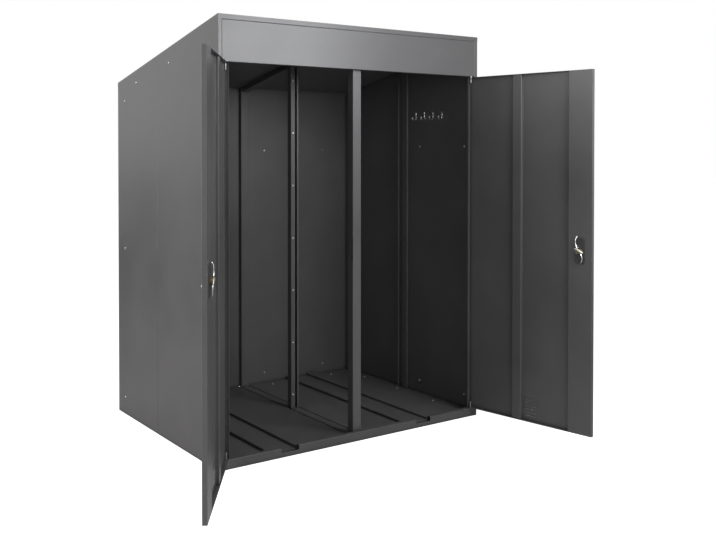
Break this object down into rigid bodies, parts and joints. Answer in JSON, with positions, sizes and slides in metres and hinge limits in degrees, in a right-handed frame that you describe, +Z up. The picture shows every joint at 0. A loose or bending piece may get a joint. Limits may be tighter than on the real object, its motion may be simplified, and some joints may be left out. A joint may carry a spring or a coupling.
{
  "type": "bike storage cabinet",
  "caption": "Tall sheet-steel cabinet that stores bikes standing upright in side-by-side bays, with hinged front doors, turn latches, wheel grooves in the floor and coat hooks.",
  "frame": {"origin": "centre of the footprint on the ground", "axes": "+Z up, -Y towards the doors, +X to the right when facing the doors"},
  "size_m": [2.135, 2.0188, 2.15],
  "materials": {
    "grey_paint": "matt powder coat",
    "chrome": "bright plated",
    "pin_steel": "zinc plated",
    "lock_metal": "satin"
  },
  "bodies": {
    "cabinet": {"roof": "grey_paint", "header": "grey_paint", "front_sill": "grey_paint", "floor_rail": "grey_paint", "front_post": "grey_paint", "mid_post": "grey_paint", "back_post": "grey_paint", "roof_beam": "grey_paint", "side_wall_front_left": "grey_paint", "side_wall_front_right": "grey_paint", "side_wall_rear_left": "grey_paint", "side_wall_rear_right": "grey_paint", "back_wall_left": "grey_paint", "back_wall_right": "grey_paint", "floor_left": "grey_paint", "floor_right": "grey_paint", "wheel_channel_left": "grey_paint", "wheel_channel_right": "grey_paint", "side_post_left": "grey_paint", "side_post_right": "grey_paint", "corner_post_left": "grey_paint", "corner_post_right": "grey_paint", "hook_row_left": "chrome", "hook_row_right": "chrome", "door_pins_left": "pin_steel", "door_pins_right": "pin_steel"},
    "left_door": {"door_skin_left": "grey_paint", "lock_stile_left": "grey_paint", "door_stiffener_left": "grey_paint", "door_lock_left": "lock_metal"},
    "left_latch": {"door_latch_left": "chrome"},
    "right_door": {"door_skin_right": "grey_paint", "lock_stile_right": "grey_paint", "door_stiffener_right": "grey_paint", "door_lock_right": "lock_metal"},
    "right_latch": {"door_latch_right": "chrome"}
  },
  "joints": [
    {"name": "left_door_hinge", "type": "hinge", "parent": "cabinet", "child": "left_door", "pos_m": [-0.778, -0.623, 0], "axis": [0, 0, -1], "range_deg": [-124, 1]},
    {"name": "right_door_hinge", "type": "hinge", "parent": "cabinet", "child": "right_door", "pos_m": [0.778, -0.623, 0], "axis": [0, 0, 1], "range_deg": [-100, 25]},
    {"name": "left_latch_turn", "type": "hinge", "parent": "left_door", "child": "left_latch", "pos_m": [-1.17335, -1.20913, 0.996], "axis": [0.829, -0.5592, 0], "range_deg": [-90, 0]},
    {"name": "right_latch_turn", "type": "hinge", "parent": "right_door", "child": "right_latch", "pos_m": [0.90077, -1.31926, 0.996], "axis": [0.9848, 0.1736, 0], "range_deg": [-90, 0]}
  ]
}
